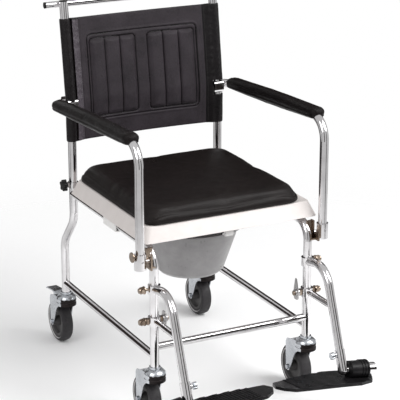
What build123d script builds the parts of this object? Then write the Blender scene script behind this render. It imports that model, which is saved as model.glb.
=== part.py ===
from build123d import *
import os
from math import atan2, cos, radians, sin, tan

# Wheeled commode chair. Millimetres, +Z up. The sitter faces -Y, so the sitter's left is +X.
# The origin is on the floor, at the middle of the chair's outline. Z = 0 is the floor.

os.makedirs("parts", exist_ok=True)

# ---------------------------------------------------------------- driving dimensions
LEG_X = 211.0            # leg and upright axes, each side of the middle
FRONT_Y = -205.5         # front leg axis; every other Y is counted back from here
UPRIGHT_Y = FRONT_Y + 485.0
REAR_Y = FRONT_Y + 553.0  # rear leg axis at the caster

TUBE_R = 11.0            # 22 mm main tube
TUBE_BORE = 9.5
RAIL_R = 9.5             # 19 mm rails and cross tubes
RAIL_BORE = 8.2
FIT = 0.05               # radial clearance of a running fit
SCREW_R = 4.0            # screws of the hand knobs
GAP = 0.35               # clearance between pieces that only pass each other

WHEEL_R = 57.0
WHEEL_W = 30.0
TRAIL = 45.0
LEG_FOOT_Z = 156.0       # bottom of the leg tubes

SEAT_RAIL_Z = 455.0      # axis of the seat side rails
LEG_BEND_R = 46.0
SIDE_RAIL_Z = 181.5
FRONT_CROSS_Z = 206.0
CRANK_LOW_Z = 301.0      # corners of the rear leg's crank
CRANK_HIGH_Z = 380.0
CRANK_R = 60.0
SOCKET_Z = 486.0         # top of the rear legs, where the uprights plug in
SPIGOT_LEN = 64.0

KINK_Z = 701.0           # the uprights lean back above this height
TOP_Z = 953.0
LEAN = 7.9               # degrees
PUSH_BAR_Z = 944.0
PUSH_BAR_R = 8.0
PUSH_BAR_HALF = 253.0

BOARD_X = 7.5            # the loose seat sits a little to the sitter's left
BOARD_HALF = 238.5
BOARD_FRONT = FRONT_Y + 11.5
BOARD_REAR = FRONT_Y + 462.0
BOARD_BOTTOM = SEAT_RAIL_Z + TUBE_R
BOARD_TOP = 503.0
BOARD_WALL = 6.0
BOARD_CORNER_R = 14.0
APRON_LEAN = 16.0        # how far the board's sides lean in from bottom to top
CUSHION_X = -4.0
CUSHION_HALF = 223.0
CUSHION_TOP = 541.5
CUSHION_FRONT = FRONT_Y + 12.0
CUSHION_REAR = FRONT_Y + 456.0
CUSHION_CORNER_R = 40.0
BORDER_RISE = 26.0       # sloping lower band of the cushion, up to its crease
BORDER_TAPER = 36.0      # degrees

PAN_Y = FRONT_Y + 230.0
PAN_RIM_Z = 424.0
PAN_BASE_Z = 297.0
PAN_RIM_R = 122.0
PAN_BASE_R = 87.0
PAN_WALL = 3.0
PAN_FLANGE_R = 136.0

ARM_X = 249.0
ARM_PIVOT_Y = UPRIGHT_Y + 24.0
ARM_PIVOT_Z = 692.0
ARM_FRONT_Y = FRONT_Y - 5.0
ARM_FRONT_Z = 721.0
ELBOW_R = 26.0           # bends of the arm tube, behind and in front
CORNER_R = 55.0
FERRULE_R = 14.5
FERRULE_BOTTOM = 413.0
FERRULE_TOP = 452.0
LOCK_Z = 447.0           # knob on the outside of the ferrule
PIN_Z = 431.0
PIN_R = 5.0
CATCH_BOTTOM = 413.0
CATCH_TOP = 459.0
SLOT_RISE = 30.0         # from the pin's axis past the top of its catch

RING_R = 15.5
RING_H = 22.0
RING_ZS = (356.0, 275.0)
HANGER_TOP = (-88.0, 373.0)      # corner of the hanger tube, back from the leg axis and up
HANGER_END = (-174.0, 148.0)     # its lower end, inside the footrest stem
HANGER_BEND_R = 62.0
STEM_TOP_Z = 180.0
BOLT_BACK = 3.0                  # clamp screws, behind the leg axis
BOLT_R = 3.5
LEVER_X = 22.0                   # inner face of the release lever's boss, from the leg axis
HINGE_Z = 132.0                  # height of the footplate hinge at the stem
HINGE_TILT = 8.0                 # degrees that the hinge falls towards the outside
SLEEVE_R = 13.0
CROSS_LEN = 70.0
CAP_R = 16.0
CAP_LEN = 18.0
CLAMP_Z = 168.0
CLAMP_SCREW_R = 3.0
PLATE_PITCH = 8.0                # degrees that the toe end stands up
PLATE_THICK = 7.0
PLATE_DROP = 20.0                # from the hinge axis down to the tread
RIB_H = 1.5
RIB_PITCH = 10.0
BARREL_IN = 15.5                 # along the hinge, from the stem's axis
BARREL_OUT = 66.0
BARREL_R = 22.0

# ---------------------------------------------------------------- helpers
SIDES = {"left": 1, "right": -1}


def save(piece, label):
    """Label a finished piece and write its file."""
    piece.label = label
    export_step(piece, f"parts/{label}.step")


def across(x, y, z):
    """Plane through a point, facing +X."""
    return Plane(origin=(x, y, z), x_dir=(0, 1, 0), z_dir=(1, 0, 0))


def start_plane(path):
    """Plane square to the start of a path."""
    return Plane(origin=path @ 0, z_dir=path % 0)


def lean_y(z):
    """Y of an upright's axis at a height above the kink."""
    return UPRIGHT_Y + (z - KINK_Z) * tan(radians(LEAN))


# ---------------------------------------------------------------- fixed frame
def leg_path(x):
    """Axis of a front leg: up from the caster, then bent back under the seat."""
    foot = Line((x, FRONT_Y, LEG_FOOT_Z), (x, FRONT_Y, SEAT_RAIL_Z - LEG_BEND_R))
    TangentArc(foot @ 1, (x, FRONT_Y + LEG_BEND_R, SEAT_RAIL_Z), tangent=(0, 0, 1))


def front_leg(side, name):
    """Front leg tube with the quarter bend that carries it under the seat."""
    x = side * LEG_X
    with BuildPart() as leg:
        with BuildLine() as path:
            leg_path(x)
        with BuildSketch(start_plane(path.line)):
            Circle(TUBE_R)
            Circle(TUBE_BORE, mode=Mode.SUBTRACT)
        sweep()
    save(leg.part, name)


def seat_rail(side, name):
    """Straight run of the side tube under the seat, coped to the rear leg."""
    x = side * LEG_X
    with BuildPart() as rail:
        with BuildSketch(Plane(origin=(x, FRONT_Y + LEG_BEND_R, SEAT_RAIL_Z), z_dir=(0, 1, 0))):
            Circle(TUBE_R)
            Circle(TUBE_BORE, mode=Mode.SUBTRACT)
        extrude(amount=UPRIGHT_Y - FRONT_Y - LEG_BEND_R)
        with Locations((x, UPRIGHT_Y, SEAT_RAIL_Z)):
            Cylinder(TUBE_R, 4 * TUBE_R, mode=Mode.SUBTRACT)
    save(rail.part, name)


def rear_leg(side, name):
    """Cranked rear leg: socket for the upright above, caster below."""
    x = side * LEG_X
    with BuildPart() as leg:
        with BuildLine() as path:
            FilletPolyline(
                (x, REAR_Y, LEG_FOOT_Z),
                (x, REAR_Y, CRANK_LOW_Z),
                (x, UPRIGHT_Y, CRANK_HIGH_Z),
                (x, UPRIGHT_Y, SOCKET_Z),
                radius=CRANK_R,
            )
        with BuildSketch(start_plane(path.line)):
            Circle(TUBE_R)
            Circle(TUBE_BORE, mode=Mode.SUBTRACT)
        sweep()
    save(leg.part, name)


def low_side_rail(side, name):
    """Low rail from front leg to rear leg, coped at both ends."""
    x = side * LEG_X
    with BuildPart() as rail:
        with BuildSketch(Plane(origin=(x, FRONT_Y, SIDE_RAIL_Z), z_dir=(0, 1, 0))):
            Circle(RAIL_R)
            Circle(RAIL_BORE, mode=Mode.SUBTRACT)
        extrude(amount=REAR_Y - FRONT_Y)
        with Locations((x, FRONT_Y, SIDE_RAIL_Z), (x, REAR_Y, SIDE_RAIL_Z)):
            Cylinder(TUBE_R, 4 * TUBE_R, mode=Mode.SUBTRACT)
    save(rail.part, name)


def low_cross_tube():
    """Low tube between the front legs, coped onto them."""
    with BuildPart() as tube:
        with BuildSketch(across(-LEG_X, FRONT_Y, FRONT_CROSS_Z)):
            Circle(RAIL_R)
            Circle(RAIL_BORE, mode=Mode.SUBTRACT)
        extrude(amount=2 * LEG_X)
        with Locations((-LEG_X, FRONT_Y, FRONT_CROSS_Z), (LEG_X, FRONT_Y, FRONT_CROSS_Z)):
            Cylinder(TUBE_R, 4 * TUBE_R, mode=Mode.SUBTRACT)
    save(tube.part, "low_cross_tube")


def seat_cross_tube(y, name):
    """Tube between the seat side rails, coped onto them."""
    with BuildPart() as tube:
        with BuildSketch(across(-LEG_X, y, SEAT_RAIL_Z)):
            Circle(RAIL_R)
            Circle(RAIL_BORE, mode=Mode.SUBTRACT)
        extrude(amount=2 * LEG_X)
        with Locations((-LEG_X, y, SEAT_RAIL_Z), (LEG_X, y, SEAT_RAIL_Z)):
            Cylinder(TUBE_R, 4 * TUBE_R, rotation=(90, 0, 0), mode=Mode.SUBTRACT)
    save(tube.part, name)


def arm_catch(side, name):
    """Bracket on the front leg; its open slot takes the pin of the arm's ferrule."""
    plate_x = side * (LEG_X + 17.0)
    mid_z = (CATCH_BOTTOM + CATCH_TOP) / 2
    height = CATCH_TOP - CATCH_BOTTOM
    lift = atan2(ARM_PIVOT_Z - PIN_Z, ARM_PIVOT_Y - ARM_FRONT_Y)
    slot_r = PIN_R + 0.6
    flare = (SLOT_RISE + slot_r * sin(lift)) * tan(lift) + slot_r * cos(lift)
    with BuildPart() as catch:
        with Locations((plate_x, FRONT_Y - 5.5, mid_z)):
            Box(4.0, 39.0, height)
        with Locations((side * (LEG_X + 8.0), FRONT_Y, CATCH_BOTTOM + 2.0)):
            Box(14.0, 24.0, 4.0)
        with Locations((side * (LEG_X + 8.0), FRONT_Y + 8.0, mid_z)):
            Box(14.0, 5.0, height)
        with BuildLine() as path:
            leg_path(side * LEG_X)
        with BuildSketch(start_plane(path.line)):
            Circle(TUBE_R)
        sweep(mode=Mode.SUBTRACT)
        # slot: straight up for lifting the back out, flared forwards for swinging the arm up
        with BuildSketch(across(plate_x, ARM_FRONT_Y, PIN_Z)):
            Circle(slot_r)
            with BuildLine():
                Polyline(
                    (slot_r, 0),
                    (slot_r, SLOT_RISE),
                    (-flare, SLOT_RISE),
                    (-slot_r * cos(lift), -slot_r * sin(lift)),
                    close=True,
                )
            make_face()
        extrude(amount=6.0, both=True, mode=Mode.SUBTRACT)
    save(catch.part, name)


def pan_rail(side, name):
    """Guide that the pan's flange slides on, screwed up under the seat board."""
    y_from = FRONT_Y + 180.0
    y_to = FRONT_Y + 412.0
    with BuildPart() as rail:
        with BuildSketch(Plane(origin=(0, y_to, 0), x_dir=(1, 0, 0), z_dir=(0, -1, 0))):
            with BuildLine():
                Polyline(
                    (side * 123.0, 416.5),
                    (side * 140.5, 416.5),
                    (side * 140.5, 463.0),
                    (side * 156.0, 463.0),
                    (side * 156.0, BOARD_BOTTOM),
                    (side * 137.5, BOARD_BOTTOM),
                    (side * 137.5, 419.6),
                    (side * 123.0, 419.6),
                    close=True,
                )
            make_face()
        extrude(amount=y_to - y_from)
    save(rail.part, name)


def socket_collars():
    """Collars round the tops of the rear legs, with the bosses for the star knobs."""
    with BuildPart() as collars:
        for side in SIDES.values():
            with Locations((side * LEG_X, UPRIGHT_Y, 479.0)):
                Cylinder(13.5, 14.0)
            with Locations((side * (LEG_X + 14.5), UPRIGHT_Y, 479.0)):
                Box(5.0, 12.0, 12.0)
            with Locations((side * LEG_X, UPRIGHT_Y, 479.0)):
                Cylinder(TUBE_R, 30.0, mode=Mode.SUBTRACT)
            with Locations(Location((side * (LEG_X + 15.5), UPRIGHT_Y, 479.0), (0, 90, 0))):
                Cylinder(SCREW_R + FIT, 4.0, mode=Mode.SUBTRACT)
    save(collars.part, "socket_collars")


def board_block(inset, top):
    """Solid of the tray with its sides leaning in, set in from the outside by a margin."""
    mid_y = (BOARD_REAR + BOARD_FRONT) / 2
    half_y = (BOARD_REAR - BOARD_FRONT) / 2
    with BuildPart() as block:
        for z, lean in ((BOARD_BOTTOM, 0), (top, APRON_LEAN)):
            with BuildSketch(Plane.XY.offset(z)):
                with Locations((BOARD_X, mid_y)):
                    RectangleRounded(
                        2 * (BOARD_HALF - lean - inset),
                        2 * (half_y - lean - inset),
                        BOARD_CORNER_R - inset,
                    )
        loft(ruled=True)
    return block.part


def seat_board():
    """Moulded tray: sloping apron, flat top with the commode aperture, ribs that sit on the rails."""
    shell = board_block(0, BOARD_TOP)
    hollow = board_block(BOARD_WALL, BOARD_TOP - BOARD_WALL)
    rib_limit = board_block(1.0, BOARD_TOP)
    with BuildPart() as ribs:
        with BuildSketch(Plane.XY.offset(BOARD_BOTTOM)):
            with Locations(*[(BOARD_X, FRONT_Y + back) for back in (62.0, 190.0, 300.0, 430.0)]):
                Rectangle(2 * BOARD_HALF, 4.0)
            with Locations((0, PAN_Y)):
                RectangleRounded(226.0, 256.0, 106.0)
        extrude(amount=BOARD_TOP - BOARD_BOTTOM - 3.0)
        add(rib_limit, mode=Mode.INTERSECT)
    with BuildPart() as board:
        add(shell)
        fillet(board.edges().group_by(Axis.Z)[-1], 4.0)
        add(hollow, mode=Mode.SUBTRACT)
        add(ribs.part)
        # aperture over the pan
        with BuildSketch(Plane.XY.offset(BOARD_BOTTOM - 1.0)):
            with Locations((0, PAN_Y)):
                RectangleRounded(218.0, 248.0, 102.0)
        extrude(amount=BOARD_TOP - BOARD_BOTTOM + 4.0, mode=Mode.SUBTRACT)
    save(board.part, "seat_board")


def seat_clips():
    """Spring clips of the seat board: one hooks under each side rail, one under the front tube."""
    top = BOARD_BOTTOM
    with BuildPart() as clips:
        for side in SIDES.values():
            with BuildSketch(Plane(origin=(0, FRONT_Y + 262.0, 0), x_dir=(1, 0, 0), z_dir=(0, -1, 0))):
                with BuildLine():
                    Polyline(
                        (side * 225.0, top),
                        (side * 225.0, 442.5),
                        (side * 213.0, 440.5),
                        (side * 213.0, 443.5),
                        (side * 222.3, 444.5),
                        (side * 222.3, top),
                        close=True,
                    )
                make_face()
            extrude(amount=74.0)
        with BuildSketch(across(4.0, FRONT_Y, 0)):
            with BuildLine():
                Polyline(
                    (41.0, top),
                    (41.0, 446.0),
                    (45.0, 439.0),
                    (60.0, 439.0),
                    (60.0, 443.5),
                    (52.2, 445.0),
                    (52.2, top),
                    close=True,
                )
            make_face()
        extrude(amount=21.0)
    save(clips.part, "seat_clips")


# ---------------------------------------------------------------- casters
HEAD_TOP = LEG_FOOT_Z - 5.3
STEM_R = 9.4
KINGPIN_R = 6.0
AXLE_R = 5.0
FORK_HALF = 25.0
FORK_PLATE = 2.5
FORK_TIP_R = 9.5
HEAD_R = 27.0
HEAD_BOTTOM = 119.5
HUB_HALF = FORK_HALF - FORK_PLATE - 0.4
PEDAL_PIVOT = (50.0, 126.5)       # back from the swivel axis, and up
PEDAL_PIN_R = 2.5
CASTERS = {
    "front_left": (LEG_X, FRONT_Y),
    "front_right": (-LEG_X, FRONT_Y),
    "rear_left": (LEG_X, REAR_Y),
    "rear_right": (-LEG_X, REAR_Y),
}


def caster_stems():
    """Plug in each leg tube, washer flange and kingpin that the fork turns on."""
    with BuildPart() as stems:
        with BuildSketch(Plane.XZ):
            with BuildLine():
                Polyline(
                    (0, 196.0),
                    (STEM_R, 196.0),
                    (STEM_R, LEG_FOOT_Z),
                    (14.0, LEG_FOOT_Z),
                    (14.0, LEG_FOOT_Z - 5.0),
                    (KINGPIN_R, LEG_FOOT_Z - 5.0),
                    (KINGPIN_R, 125.3),
                    (9.0, 125.3),
                    (9.0, 121.5),
                    (0, 121.5),
                    close=True,
                )
            make_face()
        revolve(axis=Axis.Z)
        stem = stems.part
    with BuildPart() as group:
        for x, y in CASTERS.values():
            with Locations((x, y, 0)):
                add(stem)
    save(group.part, "caster_stems")


def caster_fork(name, x, y, pedal):
    """Pressed fork with round-fronted swivel head, and its axle bolt and nuts."""
    inside = FORK_HALF - FORK_PLATE
    with BuildPart() as fork:
        # side outline of the pressing: square top corner behind, arms falling back to the axle
        with BuildSketch(across(x, y, 0)):
            with BuildLine():
                Polyline(
                    (-8.0, HEAD_BOTTOM),
                    (-8.0, 143.0),
                    (20.0, 143.0),
                    (52.0, 134.0),
                    (57.0, 124.0),
                    (TRAIL + FORK_TIP_R, WHEEL_R),
                )
                RadiusArc((TRAIL + FORK_TIP_R, WHEEL_R), (TRAIL - FORK_TIP_R, WHEEL_R), FORK_TIP_R)
                Spline((TRAIL - FORK_TIP_R, WHEEL_R), (22.0, 82.0), (14.0, 100.0), (-8.0, HEAD_BOTTOM))
            make_face()
        extrude(amount=FORK_HALF, both=True)
        # channel for the wheel
        with Locations((x, y + 20.0, 88.5)):
            Box(2 * inside, 120.0, 100.0, mode=Mode.SUBTRACT)
        # swivel head: hollow cup with a boss round the kingpin and a bead round its rim
        with BuildSketch(Plane(origin=(x, y, 0), x_dir=(1, 0, 0), z_dir=(0, -1, 0))):
            with BuildLine():
                Polyline(
                    (0, HEAD_TOP),
                    (0, 125.6),
                    (14.0, 125.6),
                    (14.0, 139.5),
                    (HEAD_R - 2.5, 139.5),
                    (HEAD_R - 2.5, HEAD_BOTTOM),
                    (HEAD_R, HEAD_BOTTOM),
                    (HEAD_R, 127.0),
                    (HEAD_R - 1.0, 128.5),
                    (HEAD_R - 1.0, 131.0),
                    (HEAD_R, 132.5),
                    (HEAD_R, 138.0),
                )
                Spline((HEAD_R, 138.0), (HEAD_R - 4.0, 145.5), (15.0, HEAD_TOP))
                Line((15.0, HEAD_TOP), (0, HEAD_TOP))
            make_face()
        revolve(axis=Axis((x, y, 0), (0, 0, 1)))
        with Locations((x, y + 34.0, 119.0)):
            Box(2 * inside, 40.0, 39.0, mode=Mode.SUBTRACT)
        with Locations((x, y, 138.0)):
            Cylinder(KINGPIN_R + FIT, 60.0, mode=Mode.SUBTRACT)
        if pedal:
            # open top between the arms, and the pin of the brake pedal
            with Locations((x, y + 54.0, 139.0)):
                Box(2 * inside, 36.0, 40.0, mode=Mode.SUBTRACT)
            with Locations(Location((x, y + PEDAL_PIVOT[0], PEDAL_PIVOT[1]), (0, 90, 0))):
                Cylinder(PEDAL_PIN_R, 2 * FORK_HALF)
        # axle bolt with its head and nut
        with Locations(Location((x, y + TRAIL, WHEEL_R), (0, 90, 0))):
            Cylinder(AXLE_R, 2 * FORK_HALF)
        for face in (-1, 1):
            with BuildSketch(across(x + face * FORK_HALF, y + TRAIL, WHEEL_R)):
                RegularPolygon(6.5, 6)
            extrude(amount=face * 4.0)
    save(fork.part, f"caster_fork_{name}")


def caster_tyre(name, x, y):
    """Solid rubber tyre with rounded shoulders and a side bead."""
    with BuildPart() as tyre:
        with BuildSketch(Plane.XY) as section:
            with BuildLine():
                Polyline((-13.0, 41.0), (-13.0, 47.0), (-WHEEL_W / 2, 49.0), (-WHEEL_W / 2, 52.0))
                Line((-WHEEL_W / 2, 52.0), (-12.0, 55.6))
                ThreePointArc((-12.0, 55.6), (0, WHEEL_R), (12.0, 55.6))
                Line((12.0, 55.6), (WHEEL_W / 2, 52.0))
                Polyline((WHEEL_W / 2, 52.0), (WHEEL_W / 2, 49.0), (13.0, 47.0), (13.0, 41.0), (-13.0, 41.0))
            make_face()
        revolve(axis=Axis.X)
        wheel = tyre.part
    with BuildPart() as placed:
        with Locations((x, y + TRAIL, WHEEL_R)):
            add(wheel)
    save(placed.part, f"caster_tyre_{name}")


def caster_hub(name, x, y):
    """Moulded wheel centre: rim, web, boss and bore."""
    with BuildPart() as hub:
        with BuildSketch(Plane.XY):
            with BuildLine():
                Polyline(
                    (-13.0, 41.0),
                    (13.0, 41.0),
                    (13.0, 36.0),
                    (5.0, 33.0),
                    (4.0, 14.0),
                    (HUB_HALF, 10.5),
                    (HUB_HALF, AXLE_R + FIT),
                    (-HUB_HALF, AXLE_R + FIT),
                    (-HUB_HALF, 10.5),
                    (-4.0, 14.0),
                    (-5.0, 33.0),
                    (-13.0, 36.0),
                    close=True,
                )
            make_face()
        revolve(axis=Axis.X)
        wheel = hub.part
    with BuildPart() as placed:
        with Locations((x, y + TRAIL, WHEEL_R)):
            add(wheel)
    save(placed.part, f"caster_hub_{name}")


def brake_pedal(name, x, y):
    """Foot pedal that turns on the pin between the arms of a rear fork."""
    back, up = PEDAL_PIVOT
    with BuildPart() as pedal:
        with BuildSketch(across(x, y + back, up)):
            Circle(5.5)
            with BuildLine():
                Polyline(
                    (-5.5, 0),
                    (-6.0, 12.0),
                    (2.0, 14.5),
                    (20.0, 13.5),
                    (55.0, 9.0),
                    (61.0, 5.0),
                    (59.0, 3.0),
                    (54.0, 5.5),
                    (19.0, 10.0),
                    (8.0, 9.5),
                    (5.5, 0),
                    close=True,
                )
            make_face()
            Circle(PEDAL_PIN_R + FIT, mode=Mode.SUBTRACT)
        extrude(amount=14.0, both=True)
    save(pedal.part, f"brake_pedal_{name}")


# ---------------------------------------------------------------- back
def upright_path(x, bottom):
    """Axis of an upright from a height on its straight part to its top."""
    return FilletPolyline(
        (x, UPRIGHT_Y, bottom),
        (x, UPRIGHT_Y, KINK_Z),
        (x, lean_y(TOP_Z), TOP_Z),
        radius=120.0,
    )


def back_upright(side, name):
    """Back tube; its thinner spigot stands in the rear leg."""
    x = side * LEG_X
    with BuildPart() as upright:
        with BuildLine() as path:
            upright_path(x, SOCKET_Z + GAP)
        with BuildSketch(start_plane(path.line)):
            Circle(TUBE_R)
            Circle(7.5, mode=Mode.SUBTRACT)
        sweep()
        with BuildSketch(Plane.XY.offset(SOCKET_Z - SPIGOT_LEN)):
            with Locations((x, UPRIGHT_Y)):
                Circle(TUBE_BORE - FIT - 0.03)
                Circle(7.5, mode=Mode.SUBTRACT)
        extrude(amount=SPIGOT_LEN + GAP)
    save(upright.part, name)


PUSH_BAR_Y = lean_y(PUSH_BAR_Z) + (TUBE_R + PUSH_BAR_R) / cos(radians(LEAN))


def push_bar():
    """Bar across the backs of the uprights."""
    with BuildPart() as bar:
        with BuildSketch(across(-PUSH_BAR_HALF, PUSH_BAR_Y, PUSH_BAR_Z)):
            Circle(PUSH_BAR_R)
            Circle(PUSH_BAR_R - 1.5, mode=Mode.SUBTRACT)
        extrude(amount=2 * PUSH_BAR_HALF)
    save(bar.part, "push_bar")


def end_caps():
    """Plastic plugs in the tops of the uprights and the ends of the push bar."""
    with BuildPart() as caps:
        for side in SIDES.values():
            top = Plane(
                origin=(side * LEG_X, lean_y(TOP_Z), TOP_Z),
                x_dir=(1, 0, 0),
                z_dir=(0, sin(radians(LEAN)), cos(radians(LEAN))),
            )
            with BuildSketch(top):
                Circle(TUBE_R)
            extrude(amount=3.5)
            with BuildSketch(across(side * PUSH_BAR_HALF, PUSH_BAR_Y, PUSH_BAR_Z)):
                Circle(PUSH_BAR_R)
            extrude(amount=side * 3.0)
    save(caps.part, "end_caps")


SLING_BOTTOM = 596.0
SLING_TOP = 911.0
SLEEVE_OUT = 14.3
SLING_SAG = 14.0


def back_sling():
    """Vinyl back: a sleeve round each upright and a slack padded panel between them."""
    with BuildPart() as sling:
        with BuildLine() as path:
            FilletPolyline(
                (0, UPRIGHT_Y, SLING_BOTTOM),
                (0, UPRIGHT_Y, KINK_Z),
                (0, lean_y(SLING_TOP), SLING_TOP),
                radius=120.0,
            )
        with BuildSketch(Plane.XY.offset(SLING_BOTTOM)):
            with Locations((-LEG_X, UPRIGHT_Y), (LEG_X, UPRIGHT_Y)):
                Circle(SLEEVE_OUT)
            with BuildLine():
                ThreePointArc(
                    (-LEG_X, UPRIGHT_Y - 8.0),
                    (0, UPRIGHT_Y - 8.0 + SLING_SAG),
                    (LEG_X, UPRIGHT_Y - 8.0),
                )
                Line((LEG_X, UPRIGHT_Y - 8.0), (LEG_X, UPRIGHT_Y + 3.0))
                ThreePointArc(
                    (LEG_X, UPRIGHT_Y + 3.0),
                    (0, UPRIGHT_Y + 3.0 + SLING_SAG),
                    (-LEG_X, UPRIGHT_Y + 3.0),
                )
                Line((-LEG_X, UPRIGHT_Y + 3.0), (-LEG_X, UPRIGHT_Y - 8.0))
            make_face()
            with Locations((-LEG_X, UPRIGHT_Y), (LEG_X, UPRIGHT_Y)):
                Circle(TUBE_R + 0.4, mode=Mode.SUBTRACT)
        sweep(path=path.wire())
        # windows for the arm pivot brackets
        for side in SIDES.values():
            with Locations((side * (LEG_X + 5.0), UPRIGHT_Y + 4.0, ARM_PIVOT_Z)):
                Box(48.0, 60.0, 40.0, mode=Mode.SUBTRACT)
    save(sling.part, "back_sling")


def arm_bracket(side, name):
    """Block clamped round the upright; the arm's stub turns in its rear bore."""
    with BuildPart() as bracket:
        with Locations((side * (LEG_X - 1.0), UPRIGHT_Y + 12.0, ARM_PIVOT_Z)):
            Box(27.0, 52.0, 32.0)
        fillet(bracket.edges().filter_by(Axis.X), 9.0)
        with Locations((side * LEG_X, UPRIGHT_Y, ARM_PIVOT_Z)):
            Cylinder(TUBE_R, 60.0, mode=Mode.SUBTRACT)
        with Locations(Location((side * LEG_X, ARM_PIVOT_Y, ARM_PIVOT_Z), (0, 90, 0))):
            Cylinder(TUBE_R + FIT, 60.0, mode=Mode.SUBTRACT)
    save(bracket.part, name)


def star_knob(side, name):
    """Five-lobed knob whose screw clamps the upright in its socket."""
    x = side * (LEG_X + 20.0)
    with BuildPart() as knob:
        with BuildSketch(across(x, UPRIGHT_Y, 479.0)):
            Circle(11.0)
            with PolarLocations(10.5, 5, start_angle=90):
                Circle(5.0)
        extrude(amount=side * 12.0)
        fillet(knob.faces().sort_by(Axis.X)[0 if side < 0 else -1].edges(), 1.5)
        with BuildSketch(across(x, UPRIGHT_Y, 479.0)):
            Circle(SCREW_R)
        extrude(amount=side * -6.0)
    save(knob.part, name)


# ---------------------------------------------------------------- arms
def arm_corners(side):
    """Corners of the arm tube's axis: stub, elbow, front corner, foot of the post."""
    return (
        (side * (LEG_X - 14.0), ARM_PIVOT_Y, ARM_PIVOT_Z),
        (side * ARM_X, ARM_PIVOT_Y, ARM_PIVOT_Z),
        (side * ARM_X, ARM_FRONT_Y, ARM_FRONT_Z),
        (side * ARM_X, ARM_FRONT_Y, FERRULE_BOTTOM + 4.0),
    )


def arm_tube(side, name):
    """Arm tube with its post, end ferrule, catch pin and the bolt head on its stub."""
    with BuildPart() as arm:
        with BuildLine() as path:
            FilletPolyline(*arm_corners(side), radius=[ELBOW_R, CORNER_R])
        with BuildSketch(start_plane(path.line)):
            Circle(TUBE_R)
            Circle(TUBE_BORE, mode=Mode.SUBTRACT)
        sweep()
        with BuildSketch(Plane.XY.offset(FERRULE_BOTTOM)):
            with Locations((side * ARM_X, ARM_FRONT_Y)):
                Circle(FERRULE_R)
                Circle(TUBE_R - 0.5, mode=Mode.SUBTRACT)
        extrude(amount=FERRULE_TOP - FERRULE_BOTTOM)
        with BuildSketch(Plane.XY.offset(FERRULE_BOTTOM)):
            with Locations((side * ARM_X, ARM_FRONT_Y)):
                Circle(FERRULE_R)
        extrude(amount=4.0)
        # blind hole for the lock knob's screw
        with BuildSketch(across(side * (ARM_X + FERRULE_R - 2.9), ARM_FRONT_Y, LOCK_Z)):
            Circle(SCREW_R + FIT)
        extrude(amount=side * 6.0, mode=Mode.SUBTRACT)
        # round hole in the front of the ferrule
        with BuildSketch(Plane(origin=(side * ARM_X, ARM_FRONT_Y - FERRULE_R + 3.0, 436.0), z_dir=(0, -1, 0))):
            Circle(3.2)
        extrude(amount=6.0, mode=Mode.SUBTRACT)
        # pin that rests in the catch
        with BuildSketch(across(side * (LEG_X + 13.5), ARM_FRONT_Y, PIN_Z)):
            Circle(PIN_R)
        extrude(amount=side * 15.0)
        # closed stub end, bolt head and washer on the inner side of the pivot
        with BuildSketch(across(side * (LEG_X - 17.0), ARM_PIVOT_Y, ARM_PIVOT_Z)):
            Circle(12.5)
        extrude(amount=side * 1.6)
        with BuildSketch(across(side * (LEG_X - 15.5), ARM_PIVOT_Y, ARM_PIVOT_Z)):
            Circle(TUBE_BORE + 0.4)
        extrude(amount=side * 3.0)
        with BuildSketch(across(side * (LEG_X - 22.0), ARM_PIVOT_Y, ARM_PIVOT_Z)):
            RegularPolygon(8.0, 6)
        extrude(amount=side * 5.5)
    save(arm.part, name)


PAD_HALF = 23.0
PAD_X = ARM_X + 1.5
PAD_REAR = FRONT_Y + 484.0
PAD_FRONT = FRONT_Y + 20.0


def arm_pad(side, name):
    """Upholstered arm pad that wraps the tube, rounded on every edge."""
    slope = (ARM_FRONT_Z - ARM_PIVOT_Z) / (ARM_PIVOT_Y - ARM_FRONT_Y)
    mid_y = (PAD_REAR + PAD_FRONT) / 2
    mid_z = ARM_PIVOT_Z + slope * (ARM_PIVOT_Y - mid_y)
    square = Plane(origin=(side * PAD_X, mid_y, mid_z + 4.5), x_dir=(1, 0, 0), z_dir=(0, -1, slope))
    with BuildPart() as pad:
        with BuildSketch(square):
            RectangleRounded(2 * PAD_HALF, 33.0, 12.0)
        extrude(amount=(PAD_REAR - PAD_FRONT) / 2, both=True)
        fillet(pad.faces().sort_by(Axis.Y)[0].edges() + pad.faces().sort_by(Axis.Y)[-1].edges(), 9.0)
        with BuildLine() as path:
            FilletPolyline(*arm_corners(side), radius=[ELBOW_R, CORNER_R])
        with BuildSketch(start_plane(path.line)):
            Circle(TUBE_R)
        sweep(mode=Mode.SUBTRACT)
    save(max(pad.part.solids(), key=lambda solid: solid.volume), name)


def lock_knob(side, name):
    """Thin round knob on the outside of the arm's ferrule, on a plain shank."""
    face_x = side * (ARM_X + FERRULE_R + 4.5)
    with BuildPart() as knob:
        with BuildSketch(across(face_x, ARM_FRONT_Y, LOCK_Z)):
            Circle(12.5)
        extrude(amount=side * 4.0)
        fillet(knob.edges().filter_by(GeomType.CIRCLE), 1.2)
        with BuildSketch(across(face_x, ARM_FRONT_Y, LOCK_Z)):
            Circle(7.0)
        extrude(amount=side * -3.0)
        with BuildSketch(across(face_x, ARM_FRONT_Y, LOCK_Z)):
            Circle(SCREW_R)
        extrude(amount=side * -7.0)
    save(knob.part, name)


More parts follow.
